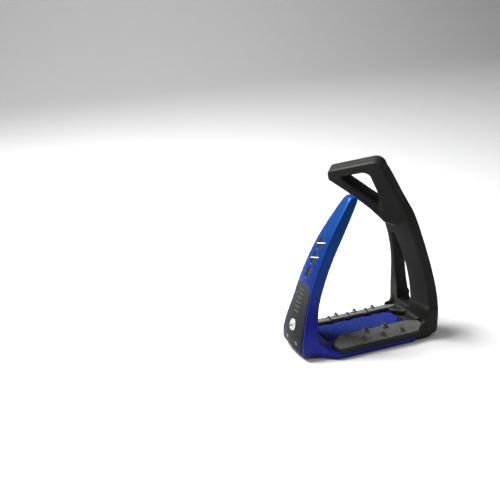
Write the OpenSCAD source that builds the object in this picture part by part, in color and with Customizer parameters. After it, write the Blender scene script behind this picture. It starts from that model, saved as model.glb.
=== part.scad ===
// Safety stirrup iron: a black moulded inner branch with a turned eye, a sprung tread
// and a blue outer arm that swings away from the rider's foot.
// Frame: X runs from the outer arm (-X) to the inner branch (+X), Y from front to rear,
// Z up, origin on the ground under the middle of the stirrup. Millimetres.

/* [Tread] */
// Half of the tread's front-to-rear depth
tread_half = 34; // [32:0.5:36]
// Height of the grip bars' inner edge above the ground
bar_top = 16; // [15.5:0.5:17]
// Slope of the grip bars, falling away to the front and rear, in degrees
bar_slope = 17; // [14:1:19]
// Distance of the grip bars' inner edge from the middle
bar_inner = 16.5; // [16:0.25:17]
// Pitch of the studs along the bars
stud_pitch = 20; // [18:0.5:21]
// Height of a stud above its grip bar
stud_h = 3.6; // [2.5:0.1:4]
// Pitch of the ribs across the tread insert
rib_pitch = 3; // [2.5:0.5:6]

/* [Inner branch] */
// Width of the branch where it meets the tread
branch_foot_w = 64; // [60:1:66]
// Thickness of the branch at the foot
branch_foot_t = 11.5; // [9:0.5:12]
// Angle of the eye to the tread, in degrees
eye_turn = 45; // [40:1:45]
// Lean of the eye's face, in degrees
eye_lean = 20; // [16:1:22]
// Depth of the eye's bars, through the eye
eye_depth = 14; // [12:0.5:15]

/* [Outer arm] */
// Width of the arm at its heel
heel_w = 46; // [42:0.5:48]
// Radius of the arm's rounded heel, about its swing axis
heel_r = 8.5; // [8:0.1:8.6]
// Thickness of the spring blade
blade_t = 1.2; // [0.8:0.1:1.4]
// Width of the spring blade
blade_w = 14; // [10:1:15]

/* [Fits] */
// Gap between the rounded foot or heel and its seat
seat_gap = 0.3; // [0.2:0.05:0.4]
// Gap between parts that are fixed together
fixed_gap = 0.1; // [0.05:0.05:0.15]

/* [Hidden] */
$fn = 48;

black = "#2c2d29";
bar_grey = "#6c6e6b";
arm_blue = "#1f4fd0";
steel = "#9aa0a6";

// Tread hinge, the rounded foot's axis
foot_x = 60.5;
foot_z = 8;
foot_r = 8;
// Arm hinge, the rounded heel's axis
heel_x = -59;
heel_z = 9;
// Grip bars along X
bar_tip_x = -37;
bar_end_x = 55.5;
bar_outer = tread_half - 1.6;
grip_t = 2.9;
rim_t = 2.2;
stack_gap = 0.1;
slope = tan(bar_slope);
inner_stud_y = bar_inner + 1.6;
outer_stud_y = bar_inner + 10.8;
inner_stud_x = [for (i = [-1:1]) i * stud_pitch];
outer_stud_x = [for (x = inner_stud_x) x + 12.5];
insert_half = 16;
insert_x0 = -37.5;
insert_z = 10.1;
insert_top = 12.6;
tray_end_x = 43.4;
// Where the underside starts to rise towards the heel, and its slope
rise_x = -44;
heel_rise = 0.28;
screw_x = 24;
screw_y = 24;
clamp_x = [-8, 0];
blade_z = 5.2;
blade_end_x = 4;
blade_top_z = 62;
badge_z0 = 6;
badge_z1 = 67;
badge_edge = 3;
badge_sink = 1.1;
badge_proud = 0.6;
medal_z = 28;
medal_r = 4.7;
slot_z = [75.6, 88, 100.7];
line_z = [89.1, 101.6];
line_tilt = 15;

// Rows of height, X of the middle, width, thickness and turn of the inner branch
branch_rows = [
    [8, 62, branch_foot_w, branch_foot_t, 2],
    [28, 62, branch_foot_w, branch_foot_t, 4],
    [47, 60.5, 53, 10.5, 12],
    [70, 57, 42, 10.5, 17],
    [95, 50.8, 34, 11.5, 20],
    [115, 43.8, 27.5, 12.5, 30],
    [130, 37.4, 19, eye_depth - 0.6, eye_turn - 1],
    [145, 30.6, 15, eye_depth - 0.6, eye_turn],
    [158, 24.2, 12, eye_depth - 1, eye_turn]];
// Rows of height, outer X, inner X and width of the outer arm
arm_rows = [
    [9, -67.4, -50.6, heel_w],
    [18, -66.8, -50.4, heel_w - 0.5],
    [28, -64.9, -49.5, heel_w - 3],
    [48, -58.6, -46, 35],
    [68, -51.8, -39, 31],
    [88, -42.9, -29.6, 27],
    [108, -32, -17.8, 22],
    [128, -18.3, -6.2, 16.5],
    [138, -11, -0.6, 12.6],
    [143, -6.6, 1, 9]];
// The eye's outline and its opening, in its own plane, as points with a corner radius
eye_outer = [[0.2, 27.5, 9], [50.6, 12.4, 4], [50.6, 3.4, 4], [31.4, -11.1, 20],
    [15.2, -25.3, 20], [2, -40, 1], [-9, -41, 1], [-17.6, -26.5, 10], [-4.6, 10.3, 20]];
eye_inner = [[38.7, 7.3, 1.5], [12, 14.8, 7], [5.6, -4, 20], [3, -21, 1.5]];
eye_at = [28.3, 0, 148];
// Where the gap between the two legs turns, and by how much, in degrees
gap_turn_x = 56;
gap_turn = -6;
// The outline of that gap, across Y and Z, with corner radii
leg_gap = [[-3, 21, 3], [18.4, 21, 3], [13.8, 60, 30], [5.8, 97, 1], [3.2, 97, 1], [-0.1, 60, 30]];

// Slope of column c at row i, from the rows on both sides
function row_slope(rows, i, c) =
    let (a = max(i - 1, 0), b = min(i + 1, len(rows) - 1))
    (rows[b][c] - rows[a][c]) / (rows[b][0] - rows[a][0]);
// Column c at height z, on a smooth curve through the rows
function smooth(rows, z, c, i = 0) =
    i < len(rows) - 2 && z > rows[i + 1][0] ? smooth(rows, z, c, i + 1) :
    let (h = rows[i + 1][0] - rows[i][0],
        t = (z - rows[i][0]) / h,
        t2 = t * t,
        t3 = t2 * t)
    (2 * t3 - 3 * t2 + 1) * rows[i][c] + (t3 - 2 * t2 + t) * h * row_slope(rows, i, c)
    + (3 * t2 - 2 * t3) * rows[i + 1][c] + (t3 - t2) * h * row_slope(rows, i + 1, c);
// An outline's points with each corner rounded by its own radius, given as [x, y, radius]
function rounded(pts, steps = 5) =
    [for (i = [0:len(pts) - 1])
        let (p = [pts[i].x, pts[i].y],
            a = [for (k = [0:1]) pts[(i + len(pts) - 1) % len(pts)][k]],
            b = [for (k = [0:1]) pts[(i + 1) % len(pts)][k]],
            da = (a - p) / norm(a - p),
            db = (b - p) / norm(b - p),
            half = acos(da * db) / 2,
            cut = min(pts[i][2] / tan(half), norm(a - p) * 0.48, norm(b - p) * 0.48),
            r = cut * tan(half),
            mid = (da + db) / norm(da + db),
            centre = p + mid * r / sin(half),
            from = p + da * cut - centre,
            side = cross(from, p + db * cut - centre) > 0 ? 1 : -1)
        for (k = [0:steps])
            let (turn = side * (180 - 2 * half) * k / steps)
            centre + [from.x * cos(turn) - from.y * sin(turn), from.x * sin(turn) + from.y * cos(turn)]];
// Height of the grip bars' top at a distance y from the middle
function bar_z(y) = bar_top - slope * (y - bar_inner);
// One ring of the branch, a rounded rectangle set square to the branch's middle line
function branch_ring(z) =
    let (dz = 0.5,
        turn = smooth(branch_rows, z, 4),
        across = [-sin(turn), cos(turn), 0],
        rise = smooth(branch_rows, z + dz, 1) - smooth(branch_rows, z - dz, 1),
        lean = atan(rise / 2 / dz) * min(1, max(0, (z - 20) / 25)),
        through = cross(across, [sin(lean), 0, cos(lean)]),
        w = smooth(branch_rows, z, 2) / 2,
        t = smooth(branch_rows, z, 3) / 2)
    [for (p = rounded([[t, w, 3], [-t, w, 3], [-t, -w, 3], [t, -w, 3]], 4))
        [smooth(branch_rows, z, 1), 0, z] + through * p.x + across * p.y];

// A closed solid through a list of rings with equal numbers of points
module loft(rings) {
    n = len(rings[0]);
    last = (len(rings) - 1) * n;
    sides = [for (i = [0:len(rings) - 2]) for (k = [0:n - 1])
        let (a = i * n + k, b = i * n + (k + 1) % n)
        for (f = [[a, b + n, b], [a, a + n, b + n]]) f];
    polyhedron(
        points = [for (r = rings) for (p = r) p],
        faces = concat(sides, [[for (k = [0:n - 1]) k]], [[for (k = [n - 1:-1:0]) last + k]]));
}
// Stands an outline drawn in X and Z up as a solid of width w about the middle plane
module across_y(w) {
    rotate([90, 0, 0]) linear_extrude(w, center = true) children();
}
// Runs an outline drawn in Y and Z along X, from x0 to x1
module along_x(x0, x1) {
    translate([x0, 0, 0]) rotate([90, 0, 90]) linear_extrude(x1 - x0) children();
}
// A straight pin along Z
module pin(x, y, z0, z1, r) {
    translate([x, y, z0]) cylinder(h = z1 - z0, r = r);
}
// Does the same at each of a list of X places
module at_x(places) {
    for (x = places) translate([x, 0, 0]) children();
}
// Repeats a part at the tread's four fixing points
module at_fixings() {
    for (x = [-1, 1], y = [-1, 1]) translate([x * screw_x, y * screw_y, 0]) children();
}
// The eye's place and lean; its outline is drawn in its own X and Y
module in_eye() {
    translate(eye_at) rotate([90 - eye_lean, 0, 90 + eye_turn]) children();
}

// Plan of one grip bar on the rear side, grown by g, but hardly towards the branch
module bar_plan(g = 0) {
    polygon(rounded([[bar_tip_x + 10 - g, bar_inner - g, 1], [bar_tip_x - g, 25, 4],
        [bar_tip_x + 4 - g, bar_outer + g, 5], [bar_end_x - 8 + g, bar_outer + g, 6],
        [bar_end_x + g / 5, 26, 3], [bar_end_x + g / 5, 20.5 - g, 3],
        [bar_end_x - 11, bar_inner - g, 6]]));
}
// The slab between two depths under the bars' sloping top, on the rear side
module bar_slab(d0, d1, y0, y1) {
    along_x(-80, 80) polygon([[y0, bar_z(y0) - d1], [y1, bar_z(y1) - d1],
        [y1, bar_z(y1) - d0], [y0, bar_z(y0) - d0]]);
}
// A stud's axis, square to the bar's slope, on the rear side
module on_bar(x, y) {
    translate([x, y, bar_z(y)]) rotate([-bar_slope, 0, 0]) children();
}
module stud() {
    cylinder(h = stud_h, r1 = 2.6, r2 = 1.1);
    translate([0, 0, -1.9]) cylinder(h = 1.95, r = 1.6);
}
module grip_bar() {
    color(bar_grey) difference() {
        intersection() {
            union() {
                linear_extrude(30) bar_plan();
                at_x(inner_stud_x) pin(0, inner_stud_y, 0, 30, 3.6);
            }
            bar_slab(0, grip_t, bar_inner - 4, tread_half + 4);
        }
        for (x = inner_stud_x) on_bar(x, inner_stud_y) stud_hole();
        for (x = outer_stud_x) on_bar(x, outer_stud_y) stud_hole();
    }
}
module stud_hole() {
    translate([0, 0, -2]) cylinder(h = 6, r = 1.65);
}
// Plan of the tread from the arm's seat to the inner foot, up to x1
module tread_plan(x1) {
    polygon(rounded([[-50, -heel_w / 2, 1], [-36, -tread_half, 8], [x1, -tread_half, 0.5],
        [x1, tread_half, 0.5], [-36, tread_half, 8], [-50, heel_w / 2, 1]]));
}
// Plan of the insert, pointed towards the inner foot, grown by g
module insert_plan(g = 0) {
    difference() {
        polygon(rounded([[insert_x0 - g, -insert_half - g, 3], [33, -insert_half - g, 6],
            [47 + g, 0, 4], [33, insert_half + g, 6], [insert_x0 - g, insert_half + g, 3]]));
        for (s = [-1, 1]) at_x(inner_stud_x) translate([0, s * inner_stud_y]) circle(r = 3.9 - g);
    }
}
// The space under the heel, where the underside rises to the outer face
module under_heel() {
    across_y(90) polygon([[rise_x, 0], [rise_x - 40, 40 * heel_rise], [rise_x - 40, -20], [rise_x, -20]]);
}
// Outline in X and Z of a strip set d0 to d1 outside the arm's outer face
module face_strip(z0, z1, d0, d1) {
    n = 14;
    zs = [for (i = [0:n]) z0 + (z1 - z0) * i / n];
    polygon(concat([for (z = zs) [smooth(arm_rows, z, 1) - d1, z]],
        [for (i = [n:-1:0]) [smooth(arm_rows, zs[i], 1) - d0, zs[i]]]));
}
// Outline in Y and Z of the badge plate, inset by g
module badge_outline(g = 0) {
    n = 10;
    edge = badge_edge + g;
    top_r = smooth(arm_rows, badge_z1 - 9, 3) / 2 - edge;
    zs = [for (i = [0:n]) badge_z0 + g + (badge_z1 - 9 - badge_z0 - g) * i / n];
    polygon(concat([for (z = zs) [smooth(arm_rows, z, 3) / 2 - edge, z]],
        [for (a = [15:15:165]) [top_r * cos(a), badge_z1 - 9 + top_r * sin(a) * 0.6]],
        [for (i = [n:-1:0]) [edge - smooth(arm_rows, zs[i], 3) / 2, zs[i]]]));
}
// Outline in Y and Z of one slot, grown by g
module slot_outline(z, g = 0) {
    w = 3.4 + g;
    h = 5.2 + g;
    polygon(rounded([[-w, z - h, 2.5], [w, z - h, 2.5], [w, z + h, 2.5], [-w, z + h, 2.5]]));
}
// Middle line of the blade, from its clamp round the heel and up the arm
blade_bend = 6;
blade_line = concat(
    [[blade_end_x, blade_z], [heel_x + blade_bend, blade_z]],
    [for (a = [15:15:75]) [heel_x + blade_bend - blade_bend * sin(a),
        blade_z + blade_bend - blade_bend * cos(a)]],
    [for (z = [14:8:blade_top_z]) [(smooth(arm_rows, z, 1) + smooth(arm_rows, z, 2)) / 2, z]]);
// Outline in X and Z of the blade, t thick
module blade_outline(t) {
    n = len(blade_line) - 1;
    side = [for (i = [0:n])
        let (d = blade_line[min(i + 1, n)] - blade_line[max(i - 1, 0)])
        [-d.y, d.x] / norm(d) * t / 2];
    polygon(concat([for (i = [0:n]) blade_line[i] + side[i]],
        [for (i = [n:-1:0]) blade_line[i] - side[i]]));
}

module inner_branch() {
    color(black) difference() {
        union() {
            loft([for (z = [8:5:158]) branch_ring(z)]);
            in_eye() linear_extrude(eye_depth, center = true) polygon(rounded(eye_outer));
        }
        in_eye() linear_extrude(60, center = true) polygon(rounded(eye_inner));
        // Gap between the front and rear legs
        translate([gap_turn_x, 0, 0]) rotate([0, 0, gap_turn]) along_x(-30, 30) polygon(rounded(leg_gap));
        // Seat over the tread frame's rounded foot
        translate([foot_x, 0, foot_z]) rotate([90, 0, 0])
            cylinder(h = 100, r = foot_r + seat_gap, center = true);
        translate([0, -50, -1]) cube([100, 100, foot_z + 1]);
    }
}

module tread_frame() {
    color(black) difference() {
        union() {
            // Rounded foot on the hinge axis
            translate([foot_x, 0, foot_z]) rotate([90, 0, 0])
                cylinder(h = 2 * (tread_half - 2), r = foot_r, center = true);
            // Cross-member between the foot and the bars
            translate([44, 1 - tread_half, 0.8]) cube([foot_x - 44, 2 * tread_half - 2, 12.2]);
            translate([50, 3 - tread_half, 12.9]) cube([3.2, 2 * tread_half - 6, 3]);
            // Rims under the two grip bars
            for (s = [0, 1]) mirror([0, s, 0]) {
                intersection() {
                    linear_extrude(30) bar_plan(1.5);
                    bar_slab(grip_t + stack_gap, grip_t + stack_gap + rim_t,
                        insert_half + 0.3, tread_half);
                }
            }
            // Bosses for the threaded inserts
            at_fixings() pin(0, 0, 4, 9.5, 3.6);
        }
        // V-shaped hollow where the insert ends
        translate([0, 0, 11]) linear_extrude(9) polygon(rounded([[30, -insert_half - 0.3, 1],
            [38, -insert_half - 0.3, 4], [55, 0, 3], [38, insert_half + 0.3, 4],
            [30, insert_half + 0.3, 1]]));
        translate([30, -insert_half - 0.3, insert_z - 0.1]) cube([18, 2 * insert_half + 0.6, 9]);
        // Room for the grip bars' inner ends
        for (s = [0, 1]) mirror([0, s, 0]) intersection() {
            linear_extrude(30) bar_plan(stack_gap);
            bar_slab(-12, grip_t + stack_gap, insert_half - 4, tread_half + 6);
        }
        at_fixings() pin(0, 0, 3, 8.1, 2.4 + fixed_gap / 2);
    }
}

module front_grip_bar() mirror([0, 1, 0]) grip_bar();
module rear_grip_bar() grip_bar();

// A row of studs on the rear bar
module stud_row(places, y) {
    color("#23241f") for (x = places) on_bar(x, y) stud();
}
module front_inner_studs() mirror([0, 1, 0]) stud_row(inner_stud_x, inner_stud_y);
module front_outer_studs() mirror([0, 1, 0]) stud_row(outer_stud_x, outer_stud_y);
module rear_inner_studs() stud_row(inner_stud_x, inner_stud_y);
module rear_outer_studs() stud_row(outer_stud_x, outer_stud_y);

module tread_insert() {
    color(arm_blue) {
        translate([0, 0, insert_z]) linear_extrude(insert_top - insert_z) insert_plan();
        intersection() {
            translate([0, 0, insert_z]) linear_extrude(4) insert_plan(-0.6);
            for (x = [insert_x0 + 3:rib_pitch:44])
                translate([x, -20, insert_top - 0.5]) cube([1.4, 40, 1.1]);
        }
    }
}

module tread_tray() {
    wing = grip_t + rim_t + 2 * stack_gap;
    color(arm_blue) difference() {
        union() {
            intersection() {
                linear_extrude(20) tread_plan(tray_end_x);
                along_x(-60, 60) polygon([for (s = [1, -1]) for (p = s > 0 ?
                    [[30, 0], [33, 2.5], [tread_half, bar_z(tread_half) - wing],
                        [insert_half + 0.2, bar_z(insert_half + 0.2) - wing], [insert_half + 0.1, 10]] :
                    [[insert_half + 0.1, 10], [insert_half + 0.2, bar_z(insert_half + 0.2) - wing],
                        [tread_half, bar_z(tread_half) - wing], [33, 2.5], [30, 0]]) [s * p.x, p.y]]);
            }
            // Smooth landing in front of the arm
            translate([-52, 0.5 - heel_w / 2, 1]) cube([14.2, heel_w - 1, 11.6]);
        }
        // Seat of the arm's rounded heel
        translate([heel_x, 0, heel_z]) rotate([90, 0, 0])
            cylinder(h = 100, r = heel_r + seat_gap, center = true);
        translate([-60, -50, heel_z]) cube([60 + heel_x + heel_r + seat_gap, 100, 20]);
        under_heel();
        // Pocket for the clamp and a slot for the blade
        translate([-14, -11, blade_z - 0.8]) cube([24, 22, 20]);
        translate([-60, -blade_w / 2 - 0.3, blade_z - 0.8]) cube([50, blade_w + 0.6, blade_t + 0.4]);
        at_x(clamp_x) pin(0, 0, 1.2, 6, 1.5 + fixed_gap / 2);
        // Fixings from below
        at_fixings() {
            pin(0, 0, -1, 2.3, 3);
            pin(0, 0, -1, 6, 1.7);
            pin(0, 0, 3.8, 20, 3.9);
        }
    }
}

module tray_screws() {
    color(steel) at_fixings() difference() {
        union() {
            pin(0, 0, 0.4, 2.2, 2.7);
            pin(0, 0, 2.1, 7.6, 1.5);
        }
        translate([0, 0, -0.1]) cylinder(h = 1.6, r = 1.2, $fn = 6);
    }
}
module threaded_inserts() {
    color("#c9a24a") at_fixings() difference() {
        pin(0, 0, 4, 8, 2.4);
        pin(0, 0, 3, 9, 1.5 + fixed_gap / 2);
    }
}

module blade_clamp() {
    color(steel) difference() {
        translate([-13, -10, blade_z + 0.7]) cube([22, 20, 2]);
        at_x(clamp_x) pin(0, 0, 0, 20, 1.65);
    }
}
module clamp_screws() {
    color(steel) at_x(clamp_x) difference() {
        union() {
            pin(0, 0, 1.4, 8, 1.5);
            pin(0, 0, blade_z + 2.7, blade_z + 4.5, 2.8);
        }
        translate([0, 0, blade_z + 3.5]) cylinder(h = 3, r = 1.3, $fn = 6);
    }
}
module spring_blade() {
    color(steel) difference() {
        across_y(blade_w) blade_outline(blade_t);
        at_x(clamp_x) pin(0, 0, 0, 20, 1.65);
        for (z = [38, 52]) rivet(z, 1.6);
    }
}
// A rivet through the arm at height z
module rivet(z, r) {
    translate([smooth(arm_rows, z, 1) + badge_sink + 0.9, 0, z]) rotate([0, 90, 0])
        cylinder(h = smooth(arm_rows, z, 2) - smooth(arm_rows, z, 1) - 3.5, r = r);
}
module blade_rivets() {
    color(steel) for (z = [38, 52]) rivet(z, 1.5);
}

module outer_arm() {
    zs = [for (i = [0:27]) 9 + (143 - 9) * i / 27];
    color(arm_blue) difference() {
        union() {
            intersection() {
                across_y(60) polygon(concat([for (z = zs) [smooth(arm_rows, z, 1), z]],
                    [for (i = [27:-1:0]) [smooth(arm_rows, zs[i], 2), zs[i]]]));
                along_x(-80, 10) polygon(concat([for (z = zs) [smooth(arm_rows, z, 3) / 2, z]],
                    [for (i = [27:-1:0]) [-smooth(arm_rows, zs[i], 3) / 2, zs[i]]]));
            }
            translate([heel_x, 0, heel_z]) rotate([90, 0, 0])
                cylinder(h = heel_w, r = heel_r, center = true);
        }
        under_heel();
        across_y(blade_w + 0.6) blade_outline(blade_t + 0.4);
        for (z = [38, 52]) rivet(z, 1.55);
        // Recesses for the badge plate and the slots
        intersection() {
            across_y(60) face_strip(badge_z0 - 6, badge_z1 + 4, -badge_sink - fixed_gap, 9);
            along_x(-80, 0) badge_outline(-fixed_gap);
        }
        for (z = slot_z) intersection() {
            across_y(60) face_strip(z - 8, z + 8, -1.5 - fixed_gap, 3);
            along_x(-80, 0) slot_outline(z, fixed_gap);
        }
        for (z = line_z) line_cut(z, 0.4 + fixed_gap, 3, fixed_gap);
    }
}
module badge_plate() {
    color("#4b4d4f") difference() {
        intersection() {
            across_y(60) face_strip(badge_z0 - 6, badge_z1 + 4, -badge_sink, badge_proud);
            along_x(-80, 0) badge_outline();
        }
        under_heel();
        // Seat of the medallion's bezel and the screws' holes
        medal_place() cylinder(h = 8, r = medal_r + 0.9);
        badge_screw_places() cylinder(h = 8, r = 1.9, center = true);
    }
}
// Square to the arm's outer face at the medallion
module medal_place() {
    run = smooth(arm_rows, medal_z + 4, 1) - smooth(arm_rows, medal_z - 4, 1);
    translate([smooth(arm_rows, medal_z, 1) + 0.3, 0, medal_z])
        rotate([0, -90 + atan(run / 8), 0]) children();
}
module badge_screw_places() {
    for (y = [-1, 1]) translate([smooth(arm_rows, 13, 1), y * 9, 13]) rotate([0, -90, 0]) children();
}
module badge_screws() {
    color(steel) badge_screw_places() difference() {
        translate([0, 0, -badge_sink]) cylinder(h = badge_sink + badge_proud, r = 1.8);
        translate([0, 0, 0]) cylinder(h = 3, r = 0.9, $fn = 6);
    }
}
// Plain raised ribs along the badge plate
module badge_ribs() {
    color("#27282a") intersection() {
        across_y(60) face_strip(38, 64, badge_proud + fixed_gap / 2, badge_proud + 0.4);
        union() for (z = [40:4:60]) translate([-80, -4.5, z]) cube([60, 9, 1.6]);
    }
}
module medallion_bezel() {
    color("#c9ccd0") medal_place() difference() {
        cylinder(h = 1.3, r = medal_r + 0.8);
        translate([0, 0, 0.3]) cylinder(h = 2, r = medal_r - 0.6);
    }
}
module medallion() {
    color("#e6e8ea") medal_place() translate([0, 0, 0.3]) difference() {
        cylinder(h = 0.9, r = medal_r - 0.7);
        translate([0, 0, 0.6]) cylinder(h = 1, r = 2.6);
    }
}
module slot_inserts() {
    color("#101114") for (z = slot_z) intersection() {
        across_y(60) face_strip(z - 8, z + 8, -1.5, -0.5);
        along_x(-80, 0) slot_outline(z);
    }
}
// A thin strip across the arm's face at height z, tilted down to the rear
module line_cut(z, sink, proud, g) {
    intersection() {
        across_y(60) face_strip(z - 8, z + 8, -sink, proud);
        translate([-80, 0, z]) rotate([-line_tilt, 0, 0]) translate([0, -7 - g, -0.5 - g])
            cube([80, 14 + 2 * g, 1 + 2 * g]);
    }
}
module accent_lines() {
    color("#d9dce0") for (z = line_z) line_cut(z, 0.4, 0.1, 0);
}

inner_branch();
tread_frame();
front_grip_bar();
rear_grip_bar();
front_inner_studs();
front_outer_studs();
rear_inner_studs();
rear_outer_studs();
tread_insert();
tread_tray();
tray_screws();
threaded_inserts();
blade_clamp();
clamp_screws();
spring_blade();
outer_arm();
blade_rivets();
badge_plate();
badge_ribs();
medallion_bezel();
medallion();
badge_screws();
slot_inserts();
accent_lines();
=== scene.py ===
"""Looks of the safety stirrup iron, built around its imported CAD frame.

Each moulded shape is a signed distance, negative inside, in millimetres of the frame's own axes.
solid() meshes it with a surface net and settles the net onto the exact surface.
-X is the outer side with the blue arm, +X the inner side with the black branch, -Y the front.
"""

import math

import bpy
import numpy as np
from mathutils import Matrix, Vector


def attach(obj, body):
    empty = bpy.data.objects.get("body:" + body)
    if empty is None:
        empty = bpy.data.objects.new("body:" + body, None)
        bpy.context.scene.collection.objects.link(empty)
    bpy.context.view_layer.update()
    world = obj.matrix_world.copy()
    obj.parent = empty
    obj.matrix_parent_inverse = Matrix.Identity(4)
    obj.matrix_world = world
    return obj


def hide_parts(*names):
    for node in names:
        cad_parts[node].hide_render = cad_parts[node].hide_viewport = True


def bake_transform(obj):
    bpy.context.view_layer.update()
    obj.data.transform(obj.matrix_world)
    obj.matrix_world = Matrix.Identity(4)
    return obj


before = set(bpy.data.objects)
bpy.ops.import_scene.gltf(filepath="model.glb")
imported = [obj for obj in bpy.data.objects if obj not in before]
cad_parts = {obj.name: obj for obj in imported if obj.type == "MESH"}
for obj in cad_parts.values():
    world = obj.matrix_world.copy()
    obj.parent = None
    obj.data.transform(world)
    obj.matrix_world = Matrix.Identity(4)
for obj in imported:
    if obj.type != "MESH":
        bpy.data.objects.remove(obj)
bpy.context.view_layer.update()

MM = 0.001
CELL = 1.0

# ---------------------------------------------------------------- the frame's shapes, as in the part

# Height, X of the middle, width, thickness and turn of the inner branch
BRANCH = np.array([
    [8, 62, 64, 11.5, 2], [28, 62, 64, 11.5, 4], [47, 60.5, 53, 10.5, 12],
    [70, 57, 42, 10.5, 17], [95, 50.8, 34, 11.5, 20], [115, 43.8, 27.5, 12.5, 30],
    [130, 37.4, 19, 13.4, 44], [145, 30.6, 15, 13.4, 45], [158, 24.2, 12, 13, 45]], float)
# Height, outer X, inner X and width of the outer arm
ARM = np.array([
    [9, -67.4, -50.6, 46], [18, -66.8, -50.4, 45.5], [28, -64.9, -49.5, 43], [48, -58.6, -46, 35],
    [68, -51.8, -39, 31], [88, -42.9, -29.6, 27], [108, -32, -17.8, 22],
    [128, -18.3, -6.2, 16.5], [138, -11, -0.6, 12.6], [143, -6.6, 1, 9]], float)
# The eye's outline and opening in its own plane, as points with a corner radius
EYE_OUTER = [(0.2, 27.5, 9), (50.6, 12.4, 4), (50.6, 3.4, 4), (31.4, -11.1, 60), (15.2, -25.3, 60),
             (2, -40, 1), (-9, -41, 1), (-17.6, -26.5, 10), (-4.6, 10.3, 40)]
EYE_INNER = [(38.7, 7.3, 1.5), (12, 14.8, 7), (5.6, -4, 30), (3, -21, 1.5)]
EYE_AT = np.array([28.3, 0, 148])
EYE_DEPTH = 14
EYE_TURN = math.radians(45)
EYE_LEAN = math.radians(20)
# Gap between the branch's two legs, across Y and Z
LEG_GAP = [(-3, 21, 3), (18.4, 21, 3), (13.8, 60, 40), (5.8, 97, 1), (3.2, 97, 1), (-0.1, 60, 40)]
LEG_GAP_TURN = math.radians(-6)
LEG_GAP_X = 56

HEEL_X, HEEL_Z, HEEL_R = -59, 9, 8.5
RISE_X, HEEL_RISE = -44, 0.28
TREAD_HALF = 34
HEEL_HALF = 23
WIDEN_X0, WIDEN_X1 = -50, -36
LANDING_Z = 12.5
ARM_TIP_Z = 141
TRAY_END_X = 43.6
FOOT_HALF = 32.2
FIXING_X, FIXING_Y, FIXING_R = 24, 24, 3
BAR_TOP = 16
BAR_INNER = 16.5
BAR_TIP_X, BAR_END_X, BAR_OUTER = -37, 55.5, 32.4
BAR_SLOPE = math.radians(17)
GRIP_T, RIM_T = 2.9, 2.2
STUD_PITCH, STUD_SHIFT = 20, 12.5
STUD_H = 3.6
INNER_STUD_Y = BAR_INNER + 1.6
OUTER_STUD_Y = BAR_INNER + 10.8
INNER_STUDS = [i * STUD_PITCH for i in (-1, 0, 1)]
OUTER_STUDS = [x + STUD_SHIFT for x in INNER_STUDS]
INSERT_HALF, INSERT_X0, INSERT_TIP_X = 16, -37.5, 47
INSERT_Z, INSERT_TOP = 10.1, 12.6
INSERT_PITCH = 2.5
# Cuts made from above stop at this height, so that they don't reach the arm or the eye
CUT_TOP = 24
BADGE_Z0, BADGE_Z1, BADGE_EDGE = 6, 67, 3.0
BADGE_SINK = 1.1
BADGE_SHOULDER = 9
BADGE_SCREW_Y, BADGE_SCREW_Z = 9, 13
MEDAL_Z, MEDAL_R = 28, 4.7
SLOT_Z = (75.6, 88, 100.7)
SLOT_SINK = 1.5
LINE_Z = (89.1, 101.6)
SLOT_HALF = (3.4, 5.2)
LINE_HALF = (6.6, 0.4)
LINE_TILT = math.radians(15)

# ---------------------------------------------------------------- distance fields


def curve(rows, column):
    """A smooth function of height through one column of rows, and its slope."""
    z, value = rows[:, 0], rows[:, column]
    before = np.maximum(np.arange(len(z)) - 1, 0)
    after = np.minimum(np.arange(len(z)) + 1, len(z) - 1)
    slope = (value[after] - value[before]) / (z[after] - z[before])
    fine = np.linspace(z[0], z[-1], 1500)
    i = np.clip(np.searchsorted(z, fine, side="right") - 1, 0, len(z) - 2)
    h = z[i + 1] - z[i]
    t = (fine - z[i]) / h
    table = ((2 * t**3 - 3 * t**2 + 1) * value[i] + (t**3 - 2 * t**2 + t) * h * slope[i]
             + (3 * t**2 - 2 * t**3) * value[i + 1] + (t**3 - t**2) * h * slope[i + 1])
    rate = np.gradient(table, fine)
    return lambda s: np.interp(s, fine, table), lambda s: np.interp(s, fine, rate)


branch_x, branch_rise = curve(BRANCH, 1)
branch_w, _ = curve(BRANCH, 2)
branch_t, _ = curve(BRANCH, 3)
branch_turn, _ = curve(BRANCH, 4)
arm_out, arm_out_rise = curve(ARM, 1)
arm_in, arm_in_rise = curve(ARM, 2)
arm_w, arm_w_rise = curve(ARM, 3)


def meet(a, b, r=0.0):
    """Both a and b, with the edge between them rounded by r."""
    if r == 0:
        return np.maximum(a, b)
    return np.minimum(np.maximum(a, b), -r) + np.hypot(np.maximum(a + r, 0), np.maximum(b + r, 0))


def join(a, b, r=0.0):
    """Either a or b, with a fillet of radius r between them."""
    return -meet(-a, -b, r)


def cut(a, b, r=0.0):
    """a without b, with the cut's edge rounded by r."""
    return meet(a, -b, r)


def band(a, low, high):
    """Where a lies between low and high."""
    return np.abs(a - (low + high) / 2) - (high - low) / 2


def rounded(points, steps=10):
    """An outline's corners (x, y, radius) turned into arcs."""
    out = []
    for i, (x, y, radius) in enumerate(points):
        p = np.array([x, y], float)
        a = np.array(points[i - 1][:2], float) - p
        b = np.array(points[(i + 1) % len(points)][:2], float) - p
        la, lb = np.linalg.norm(a), np.linalg.norm(b)
        a, b = a / la, b / lb
        half = math.acos(np.clip(a @ b, -1, 1)) / 2
        reach = min(radius / math.tan(half), la * 0.48, lb * 0.48)
        r = reach * math.tan(half)
        centre = p + (a + b) / np.linalg.norm(a + b) * r / math.sin(half)
        start, end = p + a * reach - centre, p + b * reach - centre
        sweep = math.copysign(math.pi - 2 * half, start[0] * end[1] - start[1] * end[0])
        for k in range(steps + 1):
            c, s = math.cos(sweep * k / steps), math.sin(sweep * k / steps)
            out.append(centre + [start[0] * c - start[1] * s, start[0] * s + start[1] * c])
    return np.array(out)


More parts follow.
